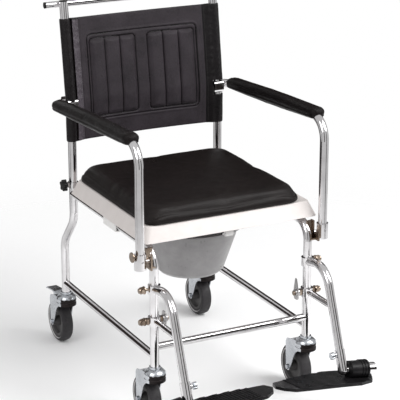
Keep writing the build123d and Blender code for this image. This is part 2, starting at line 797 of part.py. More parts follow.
# ---------------------------------------------------------------- footrests
def hanger(side, name):
    """Swing-away hanger: two rings round the front leg, bent tube, strut and clamp screws."""
    x = side * LEG_X
    bolt_y = FRONT_Y + BOLT_BACK
    with BuildPart() as frame:
        with BuildLine() as path:
            FilletPolyline(
                (x, FRONT_Y - 10.0, RING_ZS[0] + 1.5),
                (x, FRONT_Y + HANGER_TOP[0], HANGER_TOP[1]),
                (x, FRONT_Y + HANGER_END[0], HANGER_END[1]),
                radius=HANGER_BEND_R,
            )
        with BuildSketch(start_plane(path.line)):
            Circle(TUBE_R)
            Circle(TUBE_BORE, mode=Mode.SUBTRACT)
        sweep()
        # strut from the lower ring to the tube
        with BuildSketch(Plane(origin=(x, FRONT_Y - 8.0, 277.0), z_dir=(0, -1, 0))):
            Circle(8.0)
        extrude(amount=108.0)
        for z in RING_ZS:
            with Locations((x, FRONT_Y, z)):
                Cylinder(RING_R, RING_H)
            # clamp screw on the outer side: shank, washer, hexagon and domed end
            for start, radius, length in ((8.0, BOLT_R, 30.0), (24.0, 10.0, 2.0), (34.5, 6.5, 4.5)):
                with BuildSketch(across(x + side * start, bolt_y, z)):
                    Circle(radius)
                extrude(amount=side * length)
            with BuildSketch(across(x + side * 26.0, bolt_y, z)):
                RegularPolygon(9.5, 6, rotation=30)
            extrude(amount=side * 8.5)
        # lugs of the lower ring, and the pivot of the release lever on the inner side
        with Locations((x, bolt_y, RING_ZS[1])):
            Box(42.0, 12.0, 14.0)
        with BuildSketch(across(x - side * 20.0, bolt_y, RING_ZS[1])):
            Circle(BOLT_R)
        extrude(amount=side * -14.0)
        with BuildSketch(across(x - side * 34.0, bolt_y, RING_ZS[1])):
            Circle(6.0)
        extrude(amount=side * -3.0)
        with Locations((x, FRONT_Y, 310.0)):
            Cylinder(TUBE_R + GAP, 140.0, mode=Mode.SUBTRACT)
    save(frame.part, name)


def release_lever(side, name):
    """Tapered cam lever on the lower ring; the left one stands up and the right one hangs down."""
    x = side * (LEG_X - LEVER_X)
    bolt_y = FRONT_Y + BOLT_BACK
    with BuildPart() as lever:
        with BuildSketch(across(x, bolt_y, RING_ZS[1])):
            Circle(9.0)
        extrude(amount=side * -11.4)
        with BuildSketch(across(x - side * 4.5, bolt_y, RING_ZS[1])):
            with BuildLine():
                Polyline(
                    (5.0, side * 37.0),
                    (0.0, side * 36.0),
                    (-9.0, side * 8.0),
                    (-10.0, side * -14.0),
                    (-4.0, side * -18.0),
                    (7.0, side * -18.0),
                    (11.0, side * -12.0),
                    (11.0, side * 8.0),
                    close=True,
                )
            make_face()
        extrude(amount=side * -3.0)
        with BuildSketch(across(x, bolt_y, RING_ZS[1])):
            Circle(BOLT_R + FIT)
        extrude(amount=side * -12.0, mode=Mode.SUBTRACT)
    save(lever.part, name)


def stem_axis():
    """Unit vector down the footrest stem, in Y and Z."""
    dy = HANGER_END[0] - HANGER_TOP[0]
    dz = HANGER_END[1] - HANGER_TOP[1]
    length = (dy * dy + dz * dz) ** 0.5
    return dy / length, dz / length


def stem_y(z):
    """Y of the stem's axis at a height."""
    dy, dz = stem_axis()
    return FRONT_Y + HANGER_TOP[0] + (z - HANGER_TOP[1]) * dy / dz


def hinge_dir(side):
    """Direction of the footplate hinge, outwards and a little down."""
    return Vector(side * cos(radians(HINGE_TILT)), 0, -sin(radians(HINGE_TILT)))


def footrest_stem(side, name):
    """Sleeve that slides on the hanger tube, with the cross tube that carries the footplate."""
    x = side * LEG_X
    dy, dz = stem_axis()
    elbow = Vector(x, stem_y(HINGE_Z), HINGE_Z)
    reach = (STEM_TOP_Z - HINGE_Z) / -dz
    out = hinge_dir(side)
    up_stem = Plane(origin=elbow, x_dir=(1, 0, 0), z_dir=(0, -dy, -dz))
    with BuildPart() as stem:
        with BuildSketch(up_stem):
            Circle(SLEEVE_R)
        extrude(amount=reach)
        with Locations(elbow):
            Sphere(SLEEVE_R)
        with BuildSketch(Plane(origin=elbow, z_dir=out)):
            Circle(TUBE_R)
        extrude(amount=CROSS_LEN + 1.0)
        # domed cap on the outer end
        with BuildSketch(Plane(origin=elbow + out * CROSS_LEN, z_dir=out)):
            Circle(CAP_R)
        extrude(amount=CAP_LEN)
        with BuildSketch(Plane(origin=elbow + out * (CROSS_LEN + CAP_LEN), z_dir=out)):
            Circle(CAP_R)
        extrude(amount=6.0, taper=40)
        # bore for the hanger tube
        with BuildSketch(up_stem):
            Circle(TUBE_R + FIT)
        extrude(amount=reach + 20.0, mode=Mode.SUBTRACT)
        # boss for the clamp knob, with its screw hole
        with BuildSketch(across(x - side * (TUBE_R + 0.5), stem_y(CLAMP_Z), CLAMP_Z)):
            Circle(5.5)
        extrude(amount=side * -4.5)
        with BuildSketch(across(x - side * (TUBE_R + 2.0), stem_y(CLAMP_Z), CLAMP_Z)):
            Circle(CLAMP_SCREW_R + FIT)
        extrude(amount=side * -4.0, mode=Mode.SUBTRACT)
    save(stem.part, name)


def clamp_knob(side, name):
    """Thumb knob that locks the stem's height."""
    x = side * (LEG_X - TUBE_R - 8.5)
    with BuildPart() as knob:
        with BuildSketch(across(x, stem_y(CLAMP_Z), CLAMP_Z)):
            Circle(9.0)
            with PolarLocations(9.8, 6):
                Circle(2.5, mode=Mode.SUBTRACT)
        extrude(amount=side * -8.0)
        with BuildSketch(across(x, stem_y(CLAMP_Z), CLAMP_Z)):
            Circle(CLAMP_SCREW_R)
        extrude(amount=side * 6.0)
    save(knob.part, name)


def plate_outline():
    """Outline of a footplate: X outwards along the hinge, Y towards the toe."""
    Polyline(
        (-207.0, 31.0),
        (-198.0, 0),
        (-133.0, -29.0),
        (-54.0, -57.0),
        (-8.0, -70.0),
        (26.0, -66.0),
        (84.0, -22.0),
        (88.0, -2.0),
        (66.0, 34.0),
        (22.0, 54.0),
        (-30.0, 57.0),
        (-128.0, 67.0),
        (-172.0, 70.0),
        (-196.0, 53.0),
        close=True,
    )


def footplate(side, name):
    """Ribbed footplate under the hinge barrel that turns on the stem's cross tube."""
    out = hinge_dir(side)
    pivot = Vector(side * LEG_X, stem_y(HINGE_Z), HINGE_Z)
    up = Vector(side * sin(radians(HINGE_TILT)), 0, cos(radians(HINGE_TILT)))
    toe = Vector(0, -1, 0) * cos(radians(PLATE_PITCH)) + up * sin(radians(PLATE_PITCH))
    # the plate's normal points down on the left and up on the right
    base = Plane(origin=pivot, x_dir=out, z_dir=out.cross(toe))
    with BuildPart() as plate:
        with BuildSketch(base.offset(side * PLATE_DROP)):
            with BuildLine():
                plate_outline()
            make_face()
        extrude(amount=side * PLATE_THICK)
        fillet(plate.edges().filter_by(Axis(pivot, base.z_dir)), 7.0)
        # tread ribs
        with BuildSketch(base.offset(side * (PLATE_DROP - RIB_H))):
            with GridLocations(1, RIB_PITCH, 1, 14):
                Rectangle(320.0, 4.0)
            with BuildLine():
                plate_outline()
            make_face(mode=Mode.INTERSECT)
        extrude(amount=side * (RIB_H + 1.0))
        # hinge barrel with its flange
        with BuildSketch(Plane(origin=pivot + out * BARREL_IN, z_dir=out)):
            Circle(BARREL_R)
        extrude(amount=BARREL_OUT - BARREL_IN)
        for step in range(3):
            with BuildSketch(Plane(origin=pivot + out * (BARREL_OUT - 5.0 - 8.0 * step), z_dir=out)):
                Circle(BARREL_R + 1.6)
            extrude(amount=4.0)
        with BuildSketch(Plane(origin=pivot + out * (BARREL_IN - 5.0), z_dir=out)):
            Circle(TUBE_R + FIT)
        extrude(amount=BARREL_OUT - BARREL_IN + 10.0, mode=Mode.SUBTRACT)
    save(plate.part, name)


# ---------------------------------------------------------------- pan and cushion
def commode_pan():
    """Tapered pan hanging by its flange on the guide rails."""
    with BuildPart() as pan:
        with BuildSketch(Plane.XZ):
            with BuildLine():
                Polyline(
                    (0, PAN_BASE_Z),
                    (PAN_BASE_R - 8.0, PAN_BASE_Z),
                    (PAN_BASE_R, PAN_BASE_Z + 8.0),
                    (PAN_RIM_R - 5.0, PAN_RIM_Z - 31.0),
                    (PAN_RIM_R, PAN_RIM_Z - 10.0),
                    (PAN_RIM_R, PAN_RIM_Z - 4.0),
                    (PAN_FLANGE_R, PAN_RIM_Z - 4.0),
                    (PAN_FLANGE_R, PAN_RIM_Z),
                    (PAN_RIM_R - PAN_WALL, PAN_RIM_Z),
                    (PAN_RIM_R - PAN_WALL, PAN_RIM_Z - 10.0),
                    (PAN_RIM_R - 5.0 - PAN_WALL, PAN_RIM_Z - 31.0),
                    (PAN_BASE_R - PAN_WALL, PAN_BASE_Z + 9.0),
                    (PAN_BASE_R - 9.0, PAN_BASE_Z + PAN_WALL),
                    (0, PAN_BASE_Z + PAN_WALL),
                    close=True,
                )
            make_face()
        revolve(axis=Axis.Z)
        bowl = pan.part
    with BuildPart() as placed:
        with Locations((0, PAN_Y, 0)):
            add(bowl)
    save(placed.part, "commode_pan")


def seat_cushion():
    """Upholstered cushion resting on the seat board: sloping border, crease, domed top."""
    mid_y = (CUSHION_FRONT + CUSHION_REAR) / 2
    depth = CUSHION_REAR - CUSHION_FRONT
    base_z = BOARD_TOP + GAP
    inset = BORDER_RISE * tan(radians(BORDER_TAPER))
    with BuildPart() as cushion:
        with BuildSketch(Plane.XY.offset(base_z)):
            with Locations((CUSHION_X, mid_y)):
                RectangleRounded(2 * CUSHION_HALF, depth, CUSHION_CORNER_R)
        extrude(amount=BORDER_RISE, taper=BORDER_TAPER)
        with BuildSketch(Plane.XY.offset(base_z + BORDER_RISE)):
            with Locations((CUSHION_X, mid_y)):
                RectangleRounded(2 * (CUSHION_HALF - inset), depth - 2 * inset, CUSHION_CORNER_R - inset)
        extrude(amount=CUSHION_TOP - base_z - BORDER_RISE)
        fillet(cushion.edges().group_by(Axis.Z)[-1], 8.0)
    save(cushion.part, "seat_cushion")


# ---------------------------------------------------------------- build everything
low_cross_tube()
seat_cross_tube(FRONT_Y + 62.0, "seat_cross_front")
seat_cross_tube(FRONT_Y + 432.0, "seat_cross_rear")
socket_collars()
seat_board()
seat_clips()
caster_stems()
push_bar()
end_caps()
back_sling()
commode_pan()
seat_cushion()

SIDE_PARTS = {
    "front_leg": front_leg,
    "seat_rail": seat_rail,
    "rear_leg": rear_leg,
    "low_side_rail": low_side_rail,
    "arm_catch": arm_catch,
    "pan_rail": pan_rail,
    "back_upright": back_upright,
    "arm_bracket": arm_bracket,
    "star_knob": star_knob,
    "arm_tube": arm_tube,
    "arm_pad": arm_pad,
    "hanger": hanger,
    "release_lever": release_lever,
    "footrest_stem": footrest_stem,
    "clamp_knob": clamp_knob,
    "footplate": footplate,
}
for part_name, build in SIDE_PARTS.items():
    for side_name, side in SIDES.items():
        build(side, f"{part_name}_{side_name}")

lock_knob(SIDES["right"], "arm_lock_knob_right")
for corner, (x, y) in CASTERS.items():
    caster_fork(corner, x, y, corner.startswith("rear"))
    caster_tyre(corner, x, y)
    caster_hub(corner, x, y)
    if corner.startswith("rear"):
        brake_pedal(corner.split("_")[1], x, y)
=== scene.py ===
import math

import bmesh
import bpy
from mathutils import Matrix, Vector, noise
from mathutils.bvhtree import BVHTree
from mathutils.geometry import tessellate_polygon


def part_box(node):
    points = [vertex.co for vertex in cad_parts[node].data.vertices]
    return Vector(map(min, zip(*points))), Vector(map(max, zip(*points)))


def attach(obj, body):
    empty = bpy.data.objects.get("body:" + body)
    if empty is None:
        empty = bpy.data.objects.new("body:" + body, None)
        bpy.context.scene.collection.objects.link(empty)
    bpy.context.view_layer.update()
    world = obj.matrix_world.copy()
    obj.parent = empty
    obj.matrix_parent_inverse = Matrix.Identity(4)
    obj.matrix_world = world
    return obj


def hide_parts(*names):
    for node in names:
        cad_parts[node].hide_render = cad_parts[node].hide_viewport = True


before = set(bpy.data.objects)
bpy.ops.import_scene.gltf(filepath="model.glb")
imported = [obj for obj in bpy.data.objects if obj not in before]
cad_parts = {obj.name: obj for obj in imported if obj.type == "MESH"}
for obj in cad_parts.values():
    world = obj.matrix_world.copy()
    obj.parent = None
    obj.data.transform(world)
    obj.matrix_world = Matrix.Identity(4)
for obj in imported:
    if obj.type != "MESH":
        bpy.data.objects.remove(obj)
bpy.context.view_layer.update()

# ---------------------------------------------------------------- places read from the frame
MM = 0.001
TUBE_R = 11 * MM
LEG_X = (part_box("front_leg_left")[0].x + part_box("front_leg_left")[1].x) / 2
FRONT_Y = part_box("front_leg_left")[0].y + TUBE_R
UPRIGHT_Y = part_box("back_upright_left")[0].y + TUBE_R
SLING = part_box("back_sling")
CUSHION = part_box("seat_cushion")
CUSHION_CORNER = 40 * MM
LEAN = math.radians(7.9)
KINK_Z = 701 * MM
KINK_R = 120 * MM


def smooth(a, b, t):
    """0 below a, 1 above b, eased between."""
    t = min(1.0, max(0.0, (t - a) / (b - a)))
    return t * t * (3 - 2 * t)


# ---------------------------------------------------------------- materials
class Look:
    """A Principled material with a few helpers for its nodes."""

    def __init__(self, name, **values):
        self.mat = bpy.data.materials.new(name)
        self.mat.use_nodes = True
        self.nodes = self.mat.node_tree.nodes
        self.links = self.mat.node_tree.links
        self.shader = self.nodes["Principled BSDF"]
        self.place = self.nodes.new("ShaderNodeTexCoord").outputs["Object"]
        for socket, value in values.items():
            self.shader.inputs[socket.replace("_", " ")].default_value = value

    def noise(self, scale, detail=4.0, rough=0.5, stretch=None, warp=0.0):
        node = self.nodes.new("ShaderNodeTexNoise")
        node.inputs["Scale"].default_value = scale
        node.inputs["Detail"].default_value = detail
        node.inputs["Roughness"].default_value = rough
        node.inputs["Distortion"].default_value = warp
        self.links.new(self.spread(stretch), node.inputs["Vector"])
        return node.outputs["Fac"]

    def spread(self, stretch):
        if stretch is None:
            return self.place
        node = self.nodes.new("ShaderNodeMapping")
        node.inputs["Scale"].default_value = stretch
        self.links.new(self.place, node.inputs["Vector"])
        return node.outputs["Vector"]

    def cells(self, scale, feature="DISTANCE_TO_EDGE"):
        node = self.nodes.new("ShaderNodeTexVoronoi")
        node.feature = feature
        node.inputs["Scale"].default_value = scale
        self.links.new(self.place, node.inputs["Vector"])
        return node.outputs["Distance"]

    def ramp(self, source, stops):
        node = self.nodes.new("ShaderNodeValToRGB")
        while len(node.color_ramp.elements) < len(stops):
            node.color_ramp.elements.new(0.5)
        for element, (position, colour) in zip(node.color_ramp.elements, stops):
            element.position = position
            element.color = colour if len(colour) == 4 else (*colour, 1)
        self.links.new(source, node.inputs["Fac"])
        return node.outputs["Color"]

    def span(self, source, low, high, from_low=0.3, from_high=0.7):
        node = self.nodes.new("ShaderNodeMapRange")
        limits = {"From Min": from_low, "From Max": from_high, "To Min": low, "To Max": high}
        for socket, value in limits.items():
            node.inputs[socket].default_value = value
        self.links.new(source, node.inputs["Value"])
        return node.outputs["Result"]

    def mix(self, how, a, b):
        node = self.nodes.new("ShaderNodeMath")
        node.operation = how
        for socket, value in zip(node.inputs, (a, b)):
            if isinstance(value, float):
                socket.default_value = value
            else:
                self.links.new(value, socket)
        return node.outputs["Value"]

    def colour(self, source, *stops):
        self.links.new(self.ramp(source, stops), self.shader.inputs["Base Color"])
        return self

    def rough(self, source, low, high):
        self.links.new(self.span(source, low, high), self.shader.inputs["Roughness"])
        return self

    def bump(self, height, distance, strength=1.0):
        node = self.nodes.new("ShaderNodeBump")
        node.inputs["Distance"].default_value = distance
        node.inputs["Strength"].default_value = strength
        self.links.new(height, node.inputs["Height"])
        previous = self.shader.inputs["Normal"].links
        if previous:
            self.links.new(previous[0].from_socket, node.inputs["Normal"])
        self.links.new(node.outputs["Normal"], self.shader.inputs["Normal"])
        return self


def metal(name, dark, light, rough_low, rough_high, grain=900.0, depth=0.00002, stretch=None):
    """Plated metal: cloudy tint, fine polishing marks, uneven gloss."""
    look = Look(name, Metallic=1.0)
    cloud = look.noise(18.0, 5.0, 0.6)
    look.colour(cloud, (0.3, dark), (0.7, light))
    look.rough(look.noise(70.0, 6.0, 0.65), rough_low, rough_high)
    look.bump(look.noise(grain, 3.0, 0.5, stretch), depth, 0.5)
    return look.mat


def plastic(name, dark, light, rough_low, rough_high, grain=1400.0, depth=0.00004, **values):
    """Moulded plastic: faint mottling, spark-eroded texture, rubbed patches."""
    look = Look(name, **values)
    look.colour(look.noise(35.0, 5.0, 0.6), (0.3, dark), (0.7, light))
    look.rough(look.noise(55.0, 6.0, 0.6), rough_low, rough_high)
    look.bump(look.noise(grain, 2.0, 0.5), depth, 0.6)
    return look.mat


def vinyl(name, dark, light, rough_low, rough_high, grain, depth, **values):
    """Grained vinyl: pebble cells with fine creases between, the creases darkened with painted shade so the
    pebbles read lighter.
    """
    look = Look(name, **values)
    pebbles = look.cells(grain)
    cloud = look.noise(14.0, 6.0, 0.6)
    # painted shade: darker in the creases between the pebbles, lighter on the pebbles
    crease_shade = look.mix("MULTIPLY", look.span(pebbles, 0.0, 0.5, 0.0, 0.3), 1.0)
    tint = look.mix("ADD", crease_shade, look.mix("MULTIPLY", cloud, 0.8))
    look.colour(tint, (0.25, dark), (0.9, light))
    look.rough(look.noise(40.0, 6.0, 0.6), rough_low, rough_high)
    look.bump(look.span(pebbles, 0.0, 1.0, 0.0, 0.28), depth, 0.8)
    look.bump(look.noise(260.0, 3.0, 0.7, warp=0.4), depth * 2.5, 0.6)
    return look.mat


DULL = {"Specular_IOR_Level": 0.15}
CHROME = metal("chrome", (0.64, 0.625, 0.63), (0.84, 0.83, 0.84), 0.05, 0.11)
ZINC = metal("zinc_plate", (0.42, 0.44, 0.47), (0.62, 0.64, 0.67), 0.18, 0.32, 500.0, 0.00006)
# painted shade: near-black metal for the inside of the caster fork's channel, where the wheel well lies in
# shadow
FORK_INSIDE_SHADE = metal("fork_inside_painted_shade", (0.012, 0.010, 0.010), (0.035, 0.030, 0.030), 0.45, 0.6)
BROWN = metal("brown_zinc", (0.16, 0.115, 0.085), (0.44, 0.36, 0.29), 0.16, 0.34, 700.0, 0.00005)
LEVER = metal("bare_steel", (0.40, 0.39, 0.39), (0.60, 0.59, 0.59), 0.26, 0.40)
BOARD = plastic("pale_board", (0.655, 0.61, 0.59), (0.705, 0.66, 0.64), 0.34, 0.46, 900.0, 0.00005)
WHITE = plastic("white_clips", (0.74, 0.73, 0.72), (0.82, 0.81, 0.80), 0.38, 0.5)
BLACK = plastic(
    "black_moulding", (0.006, 0.006, 0.0065), (0.016, 0.015, 0.016),
    0.26, 0.44, 1100.0, 0.00006, **DULL,
)
PLATE = plastic(
    "black_footplate", (0.004, 0.004, 0.0045), (0.012, 0.011, 0.012),
    0.24, 0.40, 800.0, 0.0001, **DULL,
)
PAN = plastic("grey_pan", (0.27, 0.262, 0.265), (0.33, 0.322, 0.325), 0.26, 0.38, 1300.0, 0.00003)
HUB = plastic("dark_hub", (0.050, 0.048, 0.048), (0.085, 0.082, 0.082), 0.30, 0.46, **DULL)
RIM = plastic("pale_rim_line", (0.42, 0.41, 0.41), (0.52, 0.51, 0.51), 0.3, 0.4)
CUSHION_VINYL = vinyl(
    "seat_vinyl", (0.0035, 0.0026, 0.0025), (0.014, 0.0105, 0.0100),
    0.27, 0.42, 900.0, 0.00012, **DULL,
)
PAD_VINYL = vinyl(
    "arm_vinyl", (0.0035, 0.0028, 0.0028), (0.011, 0.0088, 0.0088),
    0.26, 0.40, 800.0, 0.00014, Specular_IOR_Level=0.1,
)
BACK_VINYL = vinyl(
    "back_vinyl", (0.005, 0.0036, 0.0046), (0.040, 0.032, 0.039),
    0.34, 0.52, 620.0, 0.0003, Specular_IOR_Level=0.2,
)
# darker vinyl of the sleeves, also used as painted shade in the pressed seam lines of the panel
SLEEVE_AND_GROOVE_SHADE_VINYL = vinyl(
    "sleeve_vinyl_and_groove_shade", (0.003, 0.0024, 0.0027), (0.010, 0.008, 0.009),
    0.16, 0.30, 700.0, 0.0002, Specular_IOR_Level=0.2,
)
# painted highlight: a lighter, glossier copy of the vinyl for the lit front of the sleeve band at negative x
LIT_BAND_HIGHLIGHT_VINYL = vinyl(
    "band_vinyl_painted_highlight", (0.012, 0.009, 0.012), (0.085, 0.070, 0.085),
    0.2, 0.32, 500.0, 0.0004, Specular_IOR_Level=0.45,
)
THREAD = plastic("black_thread", (0.012, 0.011, 0.011), (0.03, 0.028, 0.028), 0.6, 0.8, 3000.0, 0.00003)


def rubber():
    """Tyre rubber: dusty dark grey in uneven lighter and darker patches, fine scuffs round the tread."""
    look = Look("tyre_rubber", Specular_IOR_Level=0.35)
    dust = look.noise(60.0, 7.0, 0.7)
    look.colour(dust, (0.25, (0.012, 0.011, 0.012)), (0.75, (0.036, 0.033, 0.036)))
    look.rough(look.noise(110.0, 5.0, 0.6), 0.46, 0.72)
    look.bump(look.noise(700.0, 3.0, 0.6), 0.00012, 0.6)
    return look.mat


TYRE = rubber()

BY_NAME = (
    ("caster_tyre", TYRE),
    ("caster_hub", HUB),
    ("caster_fork", ZINC),
    ("caster_stems", ZINC),
    ("brake_pedal", ZINC),
    ("seat_board", BOARD),
    ("seat_clips", WHITE),
    ("pan_rail", WHITE),
    ("commode_pan", PAN),
    ("footplate", PLATE),
    ("star_knob", BLACK),
    ("arm_lock_knob", BROWN),
    ("arm_catch", BROWN),
    ("clamp_knob", ZINC),
    ("release_lever", LEVER),
    ("end_caps", BLACK),
    ("back_sling", BACK_VINYL),
    ("arm_pad", PAD_VINYL),
    ("seat_cushion", CUSHION_VINYL),
)


def mid_x(name):
    low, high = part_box(name)
    return (low.x + high.x) / 2


def second_finish(name, mat, chosen):
    """Give a second material to the faces of a node that a test picks out by their centre."""
    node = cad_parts[name]
    node.data.materials.append(mat)
    index = len(node.data.materials) - 1
    for face in node.data.polygons:
        if chosen(node.matrix_world @ face.center):
            face.material_index = index


for node_name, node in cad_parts.items():
    finish = next((mat for start, mat in BY_NAME if node_name.startswith(start)), CHROME)
    for index in range(len(node.material_slots)):
        node.material_slots[index].material = finish

for node_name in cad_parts:
    if node_name.startswith("caster_fork"):
        x = mid_x(node_name)
        # painted shade on the inner faces of the fork's channel and under its web
        second_finish(node_name, FORK_INSIDE_SHADE, lambda p, x=x: abs(p.x - x) < 22.7 * MM and p.z < 139 * MM)
    if node_name.startswith("caster_tyre"):
        low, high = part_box(node_name)
        mid = (low + high) / 2

        def on_rim_line(p, mid=mid):
            reach = math.hypot(p.y - mid.y, p.z - mid.z)
            return 46.8 * MM < reach < 49.2 * MM and abs(p.x - mid.x) < 15.1 * MM

        second_finish(node_name, RIM, on_rim_line)
    if node_name.startswith("hanger"):
        x = math.copysign(LEG_X, mid_x(node_name))
        second_finish(node_name, BROWN, lambda p, x=x: abs(p.x - x) > 16.5 * MM)


# ---------------------------------------------------------------- mesh helpers
def make(name, verts, faces, mat, smooth_faces=True):
    """Object from plain lists."""
    mesh = bpy.data.meshes.new(name)
    mesh.from_pydata([tuple(v) for v in verts], [], faces)
    mesh.materials.append(mat)
    mesh.update()
    if smooth_faces:
        mesh.polygons.foreach_set("use_smooth", [True] * len(mesh.polygons))
    obj = bpy.data.objects.new(name, mesh)
    bpy.context.collection.objects.link(obj)
    return obj


def only(obj):
    bpy.ops.object.select_all(action="DESELECT")
    obj.select_set(True)
    bpy.context.view_layer.objects.active = obj


def apply_all(obj):
    only(obj)
    for modifier in list(obj.modifiers):
        bpy.ops.object.modifier_apply(modifier=modifier.name)


def rings_to_mesh(rings):
    """Closed mesh from equal rings of points, with a point at each end."""
    verts = [v for ring in rings for v in ring]
    n = len(rings[0])
    faces = []
    for r in range(len(rings) - 1):
        for i in range(n):
            j = (i + 1) % n
            faces.append((r * n + i, r * n + j, (r + 1) * n + j, (r + 1) * n + i))
    for ring, flip in ((0, True), (len(rings) - 1, False)):
        centre = sum((Vector(v) for v in rings[ring]), Vector()) / n
        verts.append(centre)
        tip = len(verts) - 1
        for i in range(n):
            j = (i + 1) % n
            a, b = ring * n + i, ring * n + j
            faces.append((b, a, tip) if flip else (a, b, tip))
    return verts, faces


def inflate(obj, voxel, pressure, cap, floor=None, relax=0):
    """Cloth recipe: remesh, blow up gently, cap the movement, relax the wrinkles, smooth once."""
    remesh = obj.modifiers.new("remesh", "REMESH")
    remesh.mode = "VOXEL"
    remesh.voxel_size = voxel
    remesh.use_smooth_shade = True
    apply_all(obj)
    before = [v.co.copy() for v in obj.data.vertices]
    cloth = obj.modifiers.new("cloth", "CLOTH")
    cloth.settings.use_pressure = True
    cloth.settings.uniform_pressure_force = pressure
    cloth.settings.effector_weights.gravity = 0
    cloth.settings.quality = 5
    cloth.settings.tension_stiffness = 25
    cloth.settings.compression_stiffness = 25
    cloth.settings.bending_stiffness = 2.0
    scene = bpy.context.scene
    for step in range(1, 21):
        scene.frame_set(step)
    bpy.context.view_layer.update()
    posed = obj.evaluated_get(bpy.context.evaluated_depsgraph_get())
    after = [v.co.copy() for v in posed.data.vertices]
    obj.modifiers.clear()
    scene.frame_set(1)
    for v, a, b in zip(obj.data.vertices, before, after):
        move = b - a
        if move.length > cap:
            move *= cap / move.length
        v.co = a + move
    if relax:
        soften = obj.modifiers.new("soften", "SMOOTH")
        soften.factor = 0.5
        soften.iterations = relax
        apply_all(obj)
    if floor is not None:
        for v in obj.data.vertices:
            v.co.z = max(v.co.z, floor)
    divide = obj.modifiers.new("divide", "SUBSURF")
    divide.levels = divide.render_levels = 1
    apply_all(obj)
    obj.data.polygons.foreach_set("use_smooth", [True] * len(obj.data.polygons))


def sd_round_box(x, y, half_x, half_y, radius):
    """Signed distance to a rounded rectangle, negative inside."""
    qx, qy = abs(x) - half_x + radius, abs(y) - half_y + radius
    return math.hypot(max(qx, 0), max(qy, 0)) + min(max(qx, qy), 0) - radius


def stitches(name, points, normal_at, length, gap, width, mat, body):
    """Row of thread stitches along a polyline."""
    verts, faces = [], []
    travelled, target = 0.0, gap
    start = None
    for a, b in zip(points, points[1:]):
        step = (b - a).length
        while step > 0 and target <= travelled + step:
            spot = a.lerp(b, (target - travelled) / step)
            if start is None:
                start = spot
                target += length
            else:
                along = (spot - start).normalized()
                up = normal_at(start)
                side = along.cross(up).normalized()
                base = len(verts)
                for t, k in ((0.0, 0.35), (0.3, 1.0), (0.7, 1.0), (1.0, 0.35)):
                    centre = start.lerp(spot, t) + up * (width * (0.5 * k - 0.2))
                    for q in range(6):
                        angle = math.tau * q / 6
                        outward = side * (math.cos(angle) * width * 0.5 * k)
                        verts.append(centre + outward + up * (math.sin(angle) * width * 0.4 * k))
                for r in range(3):
                    for q in range(6):
                        p = (q + 1) % 6
                        ring = base + r * 6
                        faces.append((ring + q, ring + p, ring + 6 + p, ring + 6 + q))
                faces.append(tuple(base + q for q in range(5, -1, -1)))
                faces.append(tuple(base + 18 + q for q in range(6)))
                start = None
                target += gap
        travelled += step
    obj = make(name, verts, faces, mat)
    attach(obj, body)
    return obj


# ---------------------------------------------------------------- seat cushion
def outline(half_x, half_y, radius, count):
    """Evenly spaced points round a rounded rectangle."""
    dense = []
    for corner_x, corner_y, start in ((1, 1, 0), (-1, 1, 90), (-1, -1, 180), (1, -1, 270)):
        for k in range(25):
            angle = math.radians(start + 90 * k / 24)
            dense.append(Vector((
                corner_x * (half_x - radius) + radius * math.cos(angle),
                corner_y * (half_y - radius) + radius * math.sin(angle),
            )))
    dense.append(dense[0])
    lengths = [(b - a).length for a, b in zip(dense, dense[1:])]
    total = sum(lengths)
    points, k, passed = [], 0, 0.0
    for i in range(count):
        target = total * i / count
        while passed + lengths[k] < target:
            passed += lengths[k]
            k += 1
        points.append(dense[k].lerp(dense[k + 1], (target - passed) / lengths[k]))
    return points


def seat_cushion():
    low, high = CUSHION
    mid = (low + high) / 2
    half_x, half_y = (high.x - low.x) / 2, (high.y - low.y) / 2
    depth = high.z - low.z
    # share of the height, inset in mm: rolled foot, sloping border, crease, domed top
    levels = (
        (0.0, 12), (0.01, 6), (0.06, 2.5), (0.16, 4), (0.36, 9), (0.52, 13.5), (0.62, 18),
        (0.70, 19.5), (0.80, 21), (0.88, 26), (0.93, 38), (0.96, 80), (0.98, 140),
    )
    rings = []
    for share, inset in levels:
        inset *= MM
        radius = max(0.012, CUSHION_CORNER - inset * 0.2)
        z = low.z + 0.4 * MM + share * depth
        rings.append([
            Vector((mid.x + p.x, mid.y + p.y, z))
            for p in outline(half_x - inset, half_y - inset, radius, 96)
        ])
    verts, faces = rings_to_mesh(rings)
    cushion = make("cushion_cover", verts, faces, CUSHION_VINYL)
    inflate(cushion, 5 * MM, 4.0, 6 * MM, floor=low.z + 0.3 * MM, relax=8)
    for v in cushion.data.vertices:
        x, y = v.co.x - mid.x, v.co.y - mid.y
        edge = -sd_round_box(x, y, half_x, half_y, CUSHION_CORNER)
        if v.co.z > low.z + 0.4 * depth:
            # sewn crease between the border and the top, and a slack dome inside it
            v.co.z -= 3.2 * MM * math.exp(-((edge - 18.5 * MM) / (2.6 * MM)) ** 2)
            v.co.z += 1.8 * MM * (noise.noise(Vector((x * 9, y * 9, 1.7))) * smooth(0.02, 0.06, edge))
            near_crease = math.exp(-((edge - 24 * MM) / (9 * MM)) ** 2)
            v.co.z += 0.4 * MM * noise.noise(Vector((x * 40, y * 40, 6.1))) * near_crease
    cushion.data.update()
    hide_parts("seat_cushion")
    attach(cushion, "cushion")
    tree = BVHTree.FromObject(cushion, bpy.context.evaluated_depsgraph_get())
    # welt round the lower edge, where the cover is closed underneath
    line = []
    for p in outline(half_x + 0.02, half_y + 0.02, 0.06, 360):
        start = Vector((mid.x + p.x, mid.y + p.y, low.z + 4 * MM))
        hit = tree.ray_cast(start, (Vector((mid.x, mid.y, start.z)) - start).normalized())
        if hit[0] is not None:
            line.append((hit[0], hit[1]))
    welt = tube_along("cushion_welt", [p + n * 0.2 * MM for p, n in line], 1.5 * MM, CUSHION_VINYL, True)
    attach(welt, "cushion")


